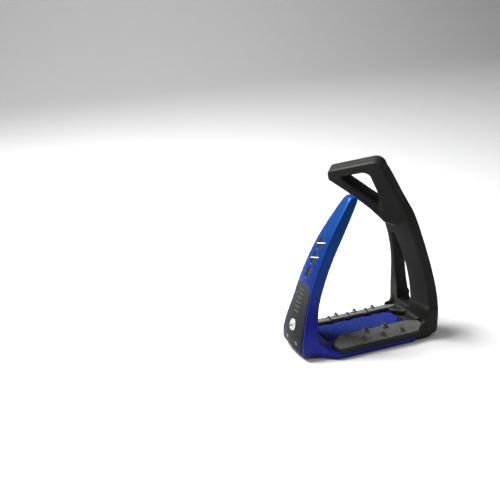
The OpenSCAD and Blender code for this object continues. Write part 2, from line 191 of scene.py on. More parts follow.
def outline(u, v, points):
    """Signed distance from (u, v) to a closed outline, negative inside."""
    nearest = np.full(u.shape, np.inf)
    outside = np.ones(u.shape)
    for (ax, ay), (bx, by) in zip(points, np.roll(points, 1, axis=0)):
        ex, ey = bx - ax, by - ay
        wx, wy = u - ax, v - ay
        t = np.clip((wx * ex + wy * ey) / max(ex * ex + ey * ey, 1e-12), 0, 1)
        nearest = np.minimum(nearest, (wx - ex * t) ** 2 + (wy - ey * t) ** 2)
        above, below, left = v >= ay, v < by, ex * wy > ey * wx
        outside = np.where((above & below & left) | ~(above | below | left), -outside, outside)
    return outside * np.sqrt(nearest)


def box2(u, v, half_u, half_v, r):
    """A rectangle about the middle with corners rounded by r."""
    a, b = np.abs(u) - half_u + r, np.abs(v) - half_v + r
    return np.hypot(np.maximum(a, 0), np.maximum(b, 0)) + np.minimum(np.maximum(a, b), 0) - r


# ---------------------------------------------------------------- meshing


def sample(field, low, high, cell):
    """The field on a grid; only the blocks near the surface are worked out finely."""
    block = 4
    reach = 1.25 * cell * block
    blocks = np.ceil((high - low) / cell / block).astype(int)
    middles = np.stack(np.meshgrid(*[np.arange(n) + 0.5 for n in blocks], indexing="ij"), -1)
    coarse = field(low + middles.reshape(-1, 3) * cell * block).reshape(blocks)
    near = np.abs(coarse) < reach
    for axis in range(3):
        coarse = np.repeat(coarse, block, axis)
        near = np.repeat(near, block, axis)
    values = np.pad(coarse, ((0, 1),) * 3, mode="edge")
    fine = np.zeros(values.shape, bool)
    n = near.shape
    for i, j, k in np.ndindex(2, 2, 2):
        fine[i:n[0] + i, j:n[1] + j, k:n[2] + k] |= near
    values[fine] = field(low + np.argwhere(fine) * cell)
    return values


def surface_net(values, low, cell):
    """Vertices and quads of the grid's zero surface, one vertex in each cell that it crosses."""
    inside = values < 0
    n = np.array(values.shape) - 1
    corners = list(np.ndindex(2, 2, 2))
    count = sum(inside[i:n[0] + i, j:n[1] + j, k:n[2] + k].astype(np.int8) for i, j, k in corners)
    mixed = (count > 0) & (count < 8)
    cells = np.argwhere(mixed)
    index = np.full(mixed.shape, -1)
    index[mixed] = np.arange(len(cells))
    total, hits = np.zeros((len(cells), 3)), np.zeros(len(cells))
    for a in corners:
        for axis in range(3):
            if a[axis] == 1:
                continue
            step = np.eye(3, dtype=int)[axis]
            va = values[tuple((cells + a).T)]
            vb = values[tuple((cells + a + step).T)]
            crossing = (va < 0) != (vb < 0)
            t = np.where(crossing, va / np.where(crossing, va - vb, 1), 0)
            total += np.where(crossing[:, None], np.array(a) + t[:, None] * step, 0)
            hits += crossing
    verts = low + (cells + total / hits[:, None]) * cell
    quads = []
    for axis in range(3):
        step, b, c = np.eye(3, dtype=int)[[axis, (axis + 1) % 3, (axis + 2) % 3]]
        first = inside[tuple(slice(0, n[i] + 1 - step[i]) for i in range(3))]
        second = inside[tuple(slice(step[i], n[i] + 1) for i in range(3))]
        edges = np.argwhere(first != second)
        other = (b + c).astype(bool)
        edges = edges[(edges[:, other] > 0).all(1) & (edges < n).all(1)]
        quad = np.stack([index[tuple((edges - back).T)] for back in (0 * b, b, b + c, c)], 1)
        outward = first[tuple(edges.T)]
        quads.append(np.where(outward[:, None], quad, quad[:, ::-1]))
    return verts, np.concatenate(quads)


def gradient(field, verts, h=0.03):
    return np.stack([(field(verts + h * e) - field(verts - h * e)) / (2 * h) for e in np.eye(3)], 1)


def settle(verts, field, cell, steps=3):
    """Moves the net's vertices onto the exact surface."""
    for _ in range(steps):
        slope = gradient(field, verts)
        size = np.maximum((slope ** 2).sum(1), 0.3)
        move = np.clip(field(verts) / size, -0.5 * cell, 0.5 * cell)
        verts = verts - move[:, None] * slope
    return verts


def new_mesh(name, verts, faces, material):
    """A smooth mesh object from millimetres, which remembers where its points lie at rest."""
    mesh = bpy.data.meshes.new(name)
    mesh.from_pydata((np.asarray(verts) * MM).tolist(), [], [list(f) for f in faces])
    mesh.update()
    for polygon in mesh.polygons:
        polygon.use_smooth = True
    rest = mesh.attributes.new("rest", "FLOAT_VECTOR", "POINT")
    rest.data.foreach_set("vector", np.asarray(verts, np.float32).ravel())
    mesh.materials.append(material)
    piece = bpy.data.objects.new(name, mesh)
    bpy.context.scene.collection.objects.link(piece)
    return piece


def solid(name, field, low, high, cell, material):
    """Meshes a distance field inside the box from low to high."""
    cell = cell * CELL
    low, high = np.array(low, float) - 2.3 * cell, np.array(high, float) + 2.3 * cell
    verts, quads = surface_net(sample(field, low, high, cell), low, cell)
    return new_mesh(name, settle(verts, field, cell), quads, material)


# ---------------------------------------------------------------- fields of the pieces


def bar_z(y):
    """Height of the grip bars' sloping top."""
    return BAR_TOP - math.tan(BAR_SLOPE) * (np.abs(y) - BAR_INNER)


def bar_depth(p):
    """Depth below the grip bars' sloping top."""
    return (bar_z(p[:, 1]) - p[:, 2]) * math.cos(BAR_SLOPE)


BAR_PLAN = rounded([(BAR_TIP_X + 10, BAR_INNER, 1), (BAR_TIP_X, 25, 4),
                    (BAR_TIP_X + 4, BAR_OUTER, 5), (BAR_END_X - 8, BAR_OUTER, 6),
                    (BAR_END_X, 26, 3), (BAR_END_X, 20.5, 3), (BAR_END_X - 11, BAR_INNER, 6)])
INSERT_PLAN = rounded([(INSERT_X0, -INSERT_HALF, 3), (33, -INSERT_HALF, 6), (INSERT_TIP_X, 0, 4),
                       (33, INSERT_HALF, 6), (INSERT_X0, INSERT_HALF, 3)])
HOLLOW_PLAN = rounded([(30, -16.3, 1), (38, -16.3, 4), (55, 0, 3), (38, 16.3, 4), (30, 16.3, 1)])
CORNER_SIDE = rounded([(43.6, 0.8, 1.5), (67.7, 0.8, 13.5), (67.7, 30, 2), (56.3, 30, 2),
                       (56.3, 15.6, 5), (43.6, 15.6, 1.5)])


def stud_ring(p, r):
    """Round the inner studs, beside both bars."""
    near = [np.hypot(p[:, 0] - x, np.abs(p[:, 1]) - INNER_STUD_Y) for x in INNER_STUDS]
    return np.minimum.reduce(near) - r


def bar_field(p):
    plan = outline(p[:, 0], np.abs(p[:, 1]), BAR_PLAN)
    plan = join(plan, stud_ring(p, 3.6), 1.2)
    crown = 0.35 * (1 - np.clip(np.abs(plan + 5) / 5, 0, 1) ** 2)
    return meet(plan, band(bar_depth(p) + 0.35 - crown, 0.35, GRIP_T + 0.35), 0.8)


def insert_field(p):
    x, y, z = p.T
    plan = outline(x, y, INSERT_PLAN)
    plan = cut(plan, stud_ring(p, 3.9), 0.4)
    rib = 0.5 + 0.5 * np.cos(2 * math.pi * x / INSERT_PITCH)
    tooth = 0.5 + 0.5 * np.cos(2 * math.pi * y / INSERT_PITCH)
    inland = np.clip((-plan - 0.8) / 0.6, 0, 1)
    depth = 1.05 * inland * rib * (0.15 + 0.85 * tooth)
    top = (z - (INSERT_TOP - 0.5) - depth) * 0.62
    return meet(meet(plan, top, 0.3), INSERT_Z - z, 0.2)


def strip_place(p):
    """How far along the branch each point lies, and its offset through and across the strip."""
    x, y, z = p.T
    s = np.clip(z, 6, 158)
    for _ in range(3):
        lean = np.arctan(branch_rise(s)) * np.clip((s - 20) / 25, 0, 1)
        along = (x - branch_x(s)) * np.sin(lean) + (z - s) * np.cos(lean)
        s = np.clip(s + along * np.cos(lean), 6, 158)
    lean = np.arctan(branch_rise(s)) * np.clip((s - 20) / 25, 0, 1)
    turn = np.radians(branch_turn(s))
    dx, dz = x - branch_x(s), z - s
    through = (dx * np.cos(turn) + y * np.sin(turn)) * np.cos(lean) - dz * np.cos(turn) * np.sin(lean)
    across = y * np.cos(turn) - dx * np.sin(turn)
    past = np.maximum(dx * np.sin(lean) + dz * np.cos(lean), 0) * (s > 157)
    return s, through, across, past


def strip_field(p):
    s, through, across, past = strip_place(p)
    return box2(through, across, branch_t(s) / 2 - 0.1, branch_w(s) / 2, 2.6) + past


def eye_place(p):
    """Each point in the eye's own plane, and its height off that plane."""
    q = p - EYE_AT
    u = np.array([-math.sin(EYE_TURN), math.cos(EYE_TURN), 0])
    n = np.array([math.cos(EYE_TURN), math.sin(EYE_TURN), 0]) * math.cos(EYE_LEAN)
    n[2] = math.sin(EYE_LEAN)
    return q @ u, q @ np.cross(n, u), q @ n


def branch_field(p):
    """Inner branch with its turned eye, its two legs and its corner with the tread."""
    x, y, z = p.T
    e_u, e_v, e_n = eye_place(p)
    ring = meet(outline(e_u, e_v, rounded(EYE_OUTER)), np.abs(e_n) - EYE_DEPTH / 2, 2.2)
    shape = join(strip_field(p), ring, 4)
    shape = cut(shape, outline(e_u, e_v, rounded(EYE_INNER)), 1.9)
    # Corner between the branch and the tread
    side = np.abs(y) - FOOT_HALF + 0.03 * np.maximum(60 - x, 0)
    corner = meet(outline(x, z, CORNER_SIDE), side, 2.6)
    shape = meet(shape, 6 - z, 0)
    shape = join(shape, corner, 3)
    # Gap between the legs
    gap_y = -math.sin(LEG_GAP_TURN) * (x - LEG_GAP_X) + math.cos(LEG_GAP_TURN) * y
    return cut(shape, outline(gap_y, z, rounded(LEG_GAP)), 0.9)


def black_field(p):
    x, y, z = p.T
    shape = branch_field(p)
    # V-shaped hollow where the insert ends
    hollow = meet(outline(x, y, HOLLOW_PLAN), band(z, 9.4, CUT_TOP), 0)
    shape = cut(shape, hollow, 1.2)
    # Rims round the grip bars, and the bars' seats
    depth = bar_depth(p)
    plan = outline(x, np.abs(y), BAR_PLAN)
    rim_plan = meet(plan - 1.6, INSERT_HALF + 0.2 - np.abs(y), 0.3)
    rim = meet(rim_plan, band(depth, 0.9, GRIP_T + RIM_T), 0.6)
    shape = join(shape, rim, 0.8)
    seat = meet(join(plan - 0.12, stud_ring(p, 3.72), 1.2), depth - GRIP_T - 0.1, 0)
    seat = np.maximum(seat, z - CUT_TOP)
    return cut(shape, seat, 0.25)


def arm_side(p):
    """Half width of the arm at each point, widening into the tread's plan, and its slope."""
    x, _, z = p.T
    start, end, soft = x - WIDEN_X0, x - WIDEN_X1, 2.0
    run = WIDEN_X1 - WIDEN_X0
    low = np.clip((34 - z) / 10, 0, 1) * (TREAD_HALF - HEEL_HALF) / (2 * run)
    plan = (np.hypot(start, soft) - np.hypot(end, soft) + run) * low
    slope = (start / np.hypot(start, soft) - end / np.hypot(end, soft)) * low
    return arm_w(z) / 2 + plan, np.hypot(1, np.hypot(slope, arm_w_rise(z) / 2))


def outer_skin(p):
    """Distance outside the arm's outer face, which turns under the heel; positive outside."""
    x, y, z = p.T
    half = arm_w(z) / 2
    bulge = 0.7 + 1.3 * np.clip((108 - z) / 80, 0, 1)
    crown = bulge * (y / half) ** 2
    face = (arm_out(z) + crown - x) / np.hypot(1, arm_out_rise(z))
    heel = np.hypot(x - HEEL_X, z - HEEL_Z) - HEEL_R + crown
    return np.where(z < HEEL_Z, heel, face)


def under_heel(p):
    """Distance below the underside, which rises towards the arm's outer face."""
    x, _, z = p.T
    return (0.1 + HEEL_RISE * np.maximum(RISE_X - x, 0) - z) * np.where(x < RISE_X, 0.92, 1.0)


def wrapped(p):
    """Height on the outer face, carried on round the heel as a length of arc."""
    x, _, z = p.T
    under = HEEL_Z - HEEL_R * np.arctan2(HEEL_Z - z, np.maximum(HEEL_X - x, 0.01))
    return np.where(z < HEEL_Z, under, z)


def badge_points(g=0.0):
    """Outline of the badge plate over Y and the wrapped height, inset by g."""
    edge = BADGE_EDGE + g
    top = BADGE_Z1 - BADGE_SHOULDER
    radius = arm_w(top) / 2 - edge
    heights = np.linspace(4, top, 16)
    right = [(arm_w(max(z, 9)) / 2 - edge, z) for z in heights]
    arc = [(radius * math.cos(a), top + radius * math.sin(a) * 0.6)
           for a in np.linspace(0, math.pi, 25)[1:-1]]
    return np.array(right + arc + [(-y, z) for y, z in right[::-1]])


def slot_points(z, g=0.0):
    w, h = SLOT_HALF[0] + g, SLOT_HALF[1] + g
    return rounded([(-w, z - h, 2.5), (w, z - h, 2.5), (w, z + h, 2.5), (-w, z + h, 2.5)])


def line_band(p, z):
    """A strip across the outer face, tilted down to the rear."""
    along = p[:, 1] * math.cos(LINE_TILT) - (p[:, 2] - z) * math.sin(LINE_TILT)
    across = p[:, 1] * math.sin(LINE_TILT) + (p[:, 2] - z) * math.cos(LINE_TILT)
    return box2(along, across, *LINE_HALF, 0.3)


def blue_profile(x, z, skin, back):
    """Arm, heel and the slab under the tread, seen from the side."""
    heel = np.hypot(x - HEEL_X, z - HEEL_Z) - HEEL_R
    arm = np.maximum(np.where(z < HEEL_Z, heel, meet(skin, back, 1.0)), skin)
    arm = meet(arm, (z - ARM_TIP_Z) * 0.9 + 0.3 * (x + 3), 4)
    slab = meet(z - LANDING_Z, HEEL_X - x, 0)
    return join(arm, slab, 9)


def blue_body(p, profile, side, back):
    """The blue moulding without its recesses."""
    x, y, z = p.T
    shape = meet(profile, side, 1.3)
    shape = meet(shape, under_heel(p), 1.6)
    # Chamfers inside the arm and under the tread
    inner = np.where(z < 25, -5.0, (side + back) * math.sqrt(0.5) + 1.0)
    shape = meet(shape, inner, 0.8)
    shape = meet(shape, (side - z) * math.sqrt(0.5) + 1.6, 1.5)
    # Wings sloping down to the front and rear
    lift = 3.0 * np.maximum(-43 - x, 0)
    wing = np.where(z > CUT_TOP, -5.0, (z - bar_z(y) + 3.3 - lift) * np.where(x < -43, 0.33, 0.95))
    shape = meet(shape, wing, 1.5)
    # Tread end, hidden in the black moulding
    return meet(shape, x - TRAY_END_X, 0.3)


def blue_field(p):
    x, y, z = p.T
    half, side_slope = arm_side(p)
    side = (np.abs(y) - half) / side_slope
    skin = outer_skin(p)
    back = (x - arm_in(z)) / np.hypot(1, arm_in_rise(z))
    profile = blue_profile(x, z, skin, back)
    shape = blue_body(p, profile, side, back)
    # Shallow dish in the landing, which runs up the foot of the arm
    dish = np.maximum(side + 3.4, -(profile + 1.0))
    dish = np.maximum(dish, np.maximum(x + 37, -(x + 58)))
    dish = np.maximum(dish, np.maximum(z - 30, 5 - z) * 0.8)
    shape = cut(shape, dish, 0.9)
    # Pocket of the ribbed insert, and the rims' seats
    plan = outline(x, y, INSERT_PLAN)
    shape = cut(shape, meet(plan - 0.25, band(z, INSERT_Z - 0.1, CUT_TOP), 0), 0.3)
    rims = meet(outline(x, np.abs(y), BAR_PLAN) - 1.75, bar_depth(p) - GRIP_T - RIM_T - 0.1, 0)
    shape = cut(shape, np.maximum(rims, z - CUT_TOP), 0.35)
    # Recesses of the badge plate and the slots
    badge = meet(outline(y, wrapped(p), badge_points(-0.3)), -(skin + BADGE_SINK), 0)
    badge = np.maximum(badge, badge_limit(p))
    shape = cut(shape, badge, 0.35)
    for z0 in SLOT_Z:
        slot = meet(outline(y, z, slot_points(z0)), -(skin + SLOT_SINK), 0)
        shape = cut(shape, np.maximum(slot, x + 5), 0.3)
    # Counterbores of the fixings below
    for fixing_x in (-FIXING_X, FIXING_X):
        bore = np.hypot(x - fixing_x, np.abs(y) - FIXING_Y)
        shape = cut(shape, np.maximum(bore - FIXING_R, z - 2.3), 0.3)
    return shape


def badge_limit(p):
    """Keeps the badge off the far side of the heel."""
    return p[:, 0] + 57 - np.maximum(p[:, 2] - 20, 0)


def badge_field(p):
    skin = outer_skin(p)
    plate = meet(outline(p[:, 1], wrapped(p), badge_points()), band(skin, -BADGE_SINK, 0.3), 0.55)
    seat = medal_radius(p) - MEDAL_R - 0.95
    plate = cut(plate, seat, 0.2)
    plate = meet(plate, under_heel(p) + 0.5, 0.5)
    return np.maximum(plate, badge_limit(p))


def medal_radius(p):
    """Distance from the medallion's axis, along the outer face."""
    lean = math.atan(float(arm_out_rise(MEDAL_Z)))
    run = (p[:, 0] - arm_out(MEDAL_Z)) * math.sin(lean) + (p[:, 2] - MEDAL_Z) * math.cos(lean)
    return np.hypot(p[:, 1], run)


def slots_field(p):
    skin = outer_skin(p)
    parts = [outline(p[:, 1], p[:, 2], slot_points(z, -0.1)) for z in SLOT_Z]
    return np.maximum(meet(np.minimum.reduce(parts), band(skin, -SLOT_SINK, -0.6), 0.2), p[:, 0] + 5)


def lines_field(p):
    parts = [line_band(p, z) for z in LINE_Z]
    return np.maximum(meet(np.minimum.reduce(parts), band(outer_skin(p), -0.4, 0.12), 0.1), p[:, 0] + 5)


def ribs_field(p):
    """Plain raised ribs on the badge plate."""
    parts = [box2(p[:, 1], p[:, 2] - z - 0.8, 4.5, 0.8, 0.7) for z in range(40, 64, 4)]
    return np.maximum(meet(np.minimum.reduce(parts), band(outer_skin(p), 0.1, 0.75), 0.3), p[:, 0] + 20)


# ---------------------------------------------------------------- materials


class Nodes:
    """A short way to write a material's node tree."""

    def __init__(self, name, on_cad=False):
        self.material = bpy.data.materials.new(name)
        self.material.use_nodes = True
        self.tree = self.material.node_tree
        self.shader = self.tree.nodes["Principled BSDF"]
        if on_cad:
            where = self.tree.nodes.new("ShaderNodeTexCoord").outputs["Object"]
            self.where = self.mapped(where, 1 / MM)
        else:
            self.where = self.add("ShaderNodeAttribute", attribute_name="rest").outputs["Vector"]

    def add(self, kind, **settings):
        node = self.tree.nodes.new(kind)
        for key, value in settings.items():
            setattr(node, key, value)
        return node

    def link(self, a, b):
        self.tree.links.new(a, b)

    def put(self, **values):
        """Plain values on the shader's own sockets."""
        for key, value in values.items():
            self.shader.inputs[key.replace("_", " ")].default_value = value

    def mapped(self, where, scale):
        node = self.add("ShaderNodeMapping")
        node.inputs["Scale"].default_value = scale if hasattr(scale, "__len__") else (scale,) * 3
        self.link(where, node.inputs["Vector"])
        return node.outputs["Vector"]

    def noise(self, scale, detail=3.0, rough=0.5, stretch=(1, 1, 1)):
        node = self.add("ShaderNodeTexNoise")
        node.inputs["Scale"].default_value = scale
        node.inputs["Detail"].default_value = detail
        node.inputs["Roughness"].default_value = rough
        self.link(self.mapped(self.where, stretch), node.inputs["Vector"])
        return node.outputs["Fac"]

    def cells(self, scale):
        node = self.add("ShaderNodeTexVoronoi", feature="F1")
        node.inputs["Scale"].default_value = scale
        self.link(self.where, node.inputs["Vector"])
        return node.outputs["Distance"]

    def ramp(self, source, *stops):
        """Colours or values along source, as (place, value) pairs."""
        node = self.add("ShaderNodeValToRGB")
        elements = node.color_ramp.elements
        while len(elements) < len(stops):
            elements.new(0.5)
        for element, (place, value) in zip(elements, stops):
            element.position = place
            element.color = (value if hasattr(value, "__len__") else (value,) * 3) + (1,)
        self.link(source, node.inputs["Fac"])
        return node.outputs["Color"]

    def mix(self, factor, a, b, mode="MIX"):
        node = self.add("ShaderNodeMix", data_type="RGBA", blend_type=mode)
        for socket, value in ((0, factor), (6, a), (7, b)):
            if isinstance(value, (int, float, tuple)):
                node.inputs[socket].default_value = value
            else:
                self.link(value, node.inputs[socket])
        return node.outputs[2]

    def height(self, low, high):
        """0 at the lower height in millimetres, 1 at the higher."""
        axes = self.add("ShaderNodeSeparateXYZ")
        self.link(self.where, axes.inputs[0])
        place = self.add("ShaderNodeMapRange")
        place.inputs["From Min"].default_value = low
        place.inputs["From Max"].default_value = high
        self.link(axes.outputs["Z"], place.inputs["Value"])
        return place.outputs["Result"]

    def edges(self, low=0.52, high=0.6):
        """Where edges stick out, a mask for a painted highlight along them."""
        point = self.add("ShaderNodeNewGeometry").outputs["Pointiness"]
        return self.ramp(point, (low, 0.0), (high, 1.0))

    def bump(self, *layers):
        """Bump from (height, strength, distance in mm) layers, one after the other."""
        normal = None
        for height, strength, distance in layers:
            node = self.add("ShaderNodeBump")
            node.inputs["Strength"].default_value = strength
            node.inputs["Distance"].default_value = distance * MM
            self.link(height, node.inputs["Height"])
            if normal is not None:
                self.link(normal, node.inputs["Normal"])
            normal = node.outputs["Normal"]
        self.link(normal, self.shader.inputs["Normal"])

    def colour(self, source):
        self.link(source, self.shader.inputs["Base Color"])

    def roughness(self, source):
        self.link(source, self.shader.inputs["Roughness"])


def black_plastic():
    """Olive-black moulded nylon with a fine spark-eroded grain."""
    m = Nodes("black_moulding")
    tone = m.ramp(m.noise(0.05, 4), (0.3, (0.0052, 0.0054, 0.0045)), (0.7, (0.0090, 0.0093, 0.0080)))
    scuffs = m.ramp(m.noise(0.35, 6, 0.7, (1, 1, 0.3)), (0.62, 0.0), (0.78, 1.0))
    tone = m.mix(m.mix(1.0, scuffs, (0.25, 0.25, 0.25, 1), "MULTIPLY"), tone, (0.055, 0.055, 0.05, 1))
    # Paler grey in patches along the protruding edges: a painted highlight.
    painted_edge_highlight = m.mix(1.0, m.edges(), m.ramp(m.noise(0.6, 5), (0.45, 0.0), (0.7, 0.6)), "MULTIPLY")
    m.colour(m.mix(painted_edge_highlight, tone, (0.09, 0.09, 0.08, 1)))
    m.roughness(m.ramp(m.noise(0.8, 5), (0.3, 0.44), (0.7, 0.6)))
    m.put(Specular_IOR_Level=0.17)
    m.bump((m.noise(3.2, 3, 0.6), 0.35, 0.12), (m.cells(1.7), 0.15, 0.08))
    return m.material


def grip_rubber():
    """Grey coarse anti-slip surface, like a fine abrasive."""
    m = Nodes("grip_grey")
    grit = m.noise(1.1, 4, 0.7)
    tone = m.ramp(m.noise(0.12, 4), (0.3, (0.045, 0.0455, 0.041)), (0.7, (0.075, 0.0755, 0.068)))
    sparkle = m.ramp(grit, (0.5, 0.0), (0.66, 1.0))
    m.colour(m.mix(sparkle, tone, (0.17, 0.172, 0.16, 1)))
    m.roughness(m.ramp(grit, (0.3, 0.62), (0.7, 0.9)))
    m.bump((m.cells(1.05), 0.8, 0.7), (grit, 0.9, 0.6))
    return m.material


def stud_plastic():
    m = Nodes("stud_black")
    tone = m.ramp(m.noise(0.9, 4), (0.3, (0.018, 0.019, 0.015)), (0.7, (0.035, 0.036, 0.03)))
    # The studs' protruding edges are painted paler: a painted highlight.
    m.colour(m.mix(m.edges(0.53, 0.62), tone, (0.13, 0.13, 0.11, 1)))
    m.roughness(m.ramp(m.noise(2.0, 4), (0.3, 0.35), (0.7, 0.55)))
    m.bump((m.noise(4.0, 3), 0.3, 0.08))
    return m.material


def blue_paint():
    """Saturated blue moulding with a satin clear coat, painted paler azure higher up as light and deeper
    blue lower down as shade.
    """
    m = Nodes("blue_moulding")
    # low is the deep blue of painted shade and high the paler azure of painted light; blending them by
    # height paints light onto the upper arm.
    low = m.ramp(m.noise(0.04, 3), (0.3, (0.006, 0.0085, 0.15)), (0.7, (0.008, 0.0125, 0.195)))
    high = m.ramp(m.noise(0.06, 3), (0.3, (0.004, 0.036, 0.165)), (0.7, (0.005, 0.048, 0.21)))
    tone = m.mix(m.height(35, 110), low, high)
    flecks = m.ramp(m.noise(5.5, 2), (0.6, 0.0), (0.8, 0.5))
    tone = m.mix(flecks, tone, (0.008, 0.06, 0.26, 1))
    # Bright azure in patches along the protruding edges: a painted highlight.
    painted_edge_highlight = m.mix(1.0, m.edges(0.54, 0.64), m.ramp(m.noise(0.5, 5), (0.4, 0.0), (0.7, 0.7)), "MULTIPLY")
    m.colour(m.mix(painted_edge_highlight, tone, (0.015, 0.10, 0.36, 1)))
    m.roughness(m.ramp(m.noise(0.7, 5), (0.3, 0.27), (0.7, 0.40)))
    m.put(Metallic=0.45, Specular_IOR_Level=0.1, Coat_Weight=0.1, Coat_Roughness=0.3)
    m.bump((m.noise(0.35, 3), 0.08, 0.5), (m.noise(3.5, 3), 0.10, 0.05))
    return m.material


def insert_rubber():
    """Softer blue of the ribbed insert, paler on the teeth's tips."""
    m = Nodes("blue_insert")
    tone = m.ramp(m.noise(0.15, 3), (0.3, (0.003, 0.005, 0.07)), (0.7, (0.004, 0.008, 0.10)))
    tips = m.ramp(m.height(INSERT_TOP - 0.45, INSERT_TOP + 0.45), (0.0, 0.0), (0.65, 0.08), (1.0, 1.0))
    m.colour(m.mix(tips, tone, (0.03, 0.085, 0.27, 1)))
    m.roughness(m.ramp(m.noise(1.5, 4), (0.3, 0.38), (0.7, 0.55)))
    m.put(Specular_IOR_Level=0.06)
    m.bump((m.noise(4.0, 3), 0.25, 0.08))
    return m.material


def badge_finish():
    """Satin grey above, fading to glossy black at the heel."""
    m = Nodes("badge_grey")
    up = m.height(BADGE_Z0, BADGE_Z1)
    tone = m.ramp(up, (0.0, (0.003, 0.003, 0.004)), (0.3, (0.006, 0.006, 0.007)),
                  (0.6, (0.014, 0.0145, 0.0145)), (1.0, (0.03, 0.031, 0.031)))
    grain = m.noise(1.4, 4, 0.6, (1, 1, 0.06))
    tone = m.mix(m.ramp(grain, (0.4, 0.0), (0.75, 0.3)), tone, (0.045, 0.045, 0.046, 1))
    m.colour(tone)
    m.roughness(m.ramp(up, (0.0, 0.3), (0.5, 0.42), (1.0, 0.5)))
    m.put(Specular_IOR_Level=0.04, Coat_Weight=0.02, Coat_Roughness=0.2)
    m.bump((grain, 0.12, 0.05))
    return m.material


def dark_trim(name, tone, rough):
    m = Nodes(name)
    low, high = tuple(0.8 * c for c in tone), tuple(1.3 * c for c in tone)
    m.colour(m.ramp(m.noise(0.8, 4), (0.3, low), (0.7, high)))
    m.roughness(m.ramp(m.noise(1.5, 4), (0.3, rough), (0.7, rough + 0.15)))
    m.bump((m.noise(3.0, 3), 0.2, 0.06))
    return m.material


def metal(name, tone, rough, on_cad=False, grain=(1, 1, 1)):
    """Bare metal with a fine grain and a little uneven polish."""
    m = Nodes(name, on_cad)
    low, high = tuple(0.82 * c for c in tone), tuple(min(1.1 * c, 1.0) for c in tone)
    m.colour(m.ramp(m.noise(0.6, 5, 0.6), (0.3, low), (0.7, high)))
    m.roughness(m.ramp(m.noise(1.2, 5, 0.6, grain), (0.3, rough), (0.7, rough + 0.18)))
    m.put(Metallic=1.0)
    m.bump((m.noise(2.5, 4, 0.6, grain), 0.15, 0.05))
    return m.material


# ---------------------------------------------------------------- small turned pieces


def lathe(verts, faces, profile, place, segments=36):
    """Adds a turned solid: profile is (radius, height) from the bottom of the axis to its top."""
    rings = []
    for r, h in profile:
        if r < 1e-6:
            rings.append([len(verts)])
            verts.append(place @ Vector((0, 0, h)))
            continue
        rings.append(range(len(verts), len(verts) + segments))
        for k in range(segments):
            a = 2 * math.pi * k / segments
            verts.append(place @ Vector((r * math.cos(a), r * math.sin(a), h)))
    for low, high in zip(rings, rings[1:]):
        for k in range(segments):
            n = (k + 1) % segments
            if len(low) == 1:
                faces.append((low[0], high[n], high[k]))
            elif len(high) == 1:
                faces.append((low[k], low[n], high[0]))
            else:
                faces.append((low[k], low[n], high[n], high[k]))


def arc(cr, ch, radius, start, end, steps=5):
    """Points of an arc about (cr, ch), from one angle to another, in degrees."""
    angles = np.radians(np.linspace(start, end, steps))
    return [(cr + radius * math.cos(a), ch + radius * math.sin(a)) for a in angles]


def stud_row(name, places, y, front, material):
    """Conical studs with a spread foot and a rounded tip, square to the bar."""
    profile = [(0, -1.5), (1.5, -1.5), (2.85, -0.15)] + arc(2.75, 0.1, 0.22, -45, 80)
    profile += [(2.35, 0.5), (1.95, 1.1), (1.6, 1.9), (1.3, 2.6), (1.12, 3.0)]
    profile += arc(0.45, STUD_H - 0.62, 0.6, 15, 75) + [(0, STUD_H)]
    verts, faces = [], []
    for x in places:
        place = Matrix.Translation((x, y, float(bar_z(y)))) @ Matrix.Rotation(-BAR_SLOPE, 4, "X")
        lathe(verts, faces, profile, place)
    verts = np.array([v[:] for v in verts])
    if front:
        verts[:, 1] *= -1
        faces = [f[::-1] for f in faces]
    return new_mesh(name, verts, faces, material)


def medal_place():
    lean = math.atan(float(arm_out_rise(MEDAL_Z)))
    at = Matrix.Translation((float(arm_out(MEDAL_Z)) + 0.3, 0, MEDAL_Z))
    return at @ Matrix.Rotation(lean - math.pi / 2, 4, "Y")


def turned(name, profile, places, material, segments=72):
    verts, faces = [], []
    for place in places:
        lathe(verts, faces, profile, place, segments)
    return new_mesh(name, np.array([v[:] for v in verts]), faces, material)


# ---------------------------------------------------------------- the pieces


def add(piece, nodes, body=None):
    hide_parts(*nodes)
    if body:
        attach(piece, body)
    return piece


def build_black():
    """Inner branch, eye and tread frame as one moulding, turning up at the rounded foot."""
    piece = solid("black_moulding", black_field, (-42, -36, 0), (72, 42, 176), 0.8, black_plastic())
    add(piece, ["inner_branch", "tread_frame"])
    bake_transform(piece)


def build_blue():
    """Tread tray and outer arm as one moulding, turning up at the heel."""
    piece = solid("blue_shell", blue_field, (-69, -35, 0), (45, 35, 144), 0.7, blue_paint())
    add(piece, ["tread_tray", "outer_arm"])
    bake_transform(piece)


def build_bars():
    grip, stud = grip_rubber(), stud_plastic()
    for name, sign in (("front", -1), ("rear", 1)):
        low, high = sorted((sign * 12, sign * 34))
        bar = solid(f"{name}_grip", bar_field, (-38, low, 7), (57, high, 18), 0.45, grip)
        add(bar, [f"{name}_grip_bar"], "tread")
        for kind, places, y in (("inner", INNER_STUDS, INNER_STUD_Y), ("outer", OUTER_STUDS, OUTER_STUD_Y)):
            row = stud_row(f"{name}_{kind}_stud_row", places, y, sign < 0, stud)
            add(row, [f"{name}_{kind}_studs"], "tread")


def build_insert():
    piece = solid("ribbed_insert", insert_field, (-38, -17, 10), (48, 17, 13.6), 0.26, insert_rubber())
    add(piece, ["tread_insert"], "tread")


def build_badge():
    """Long plate on the arm, with its plain ribs."""
    low, high = (-69, -18, -0.5), (-44, 18, 72)
    plate = solid("badge", badge_field, low, high, 0.45, badge_finish())
    add(plate, ["badge_plate"], "arm")
    ribs = solid("badge_bars", ribs_field, (-66, -6, 38), (-50, 6, 64), 0.25,
                 dark_trim("badge_dark", (0.018, 0.018, 0.019), 0.3))
    add(ribs, ["badge_ribs"], "arm")


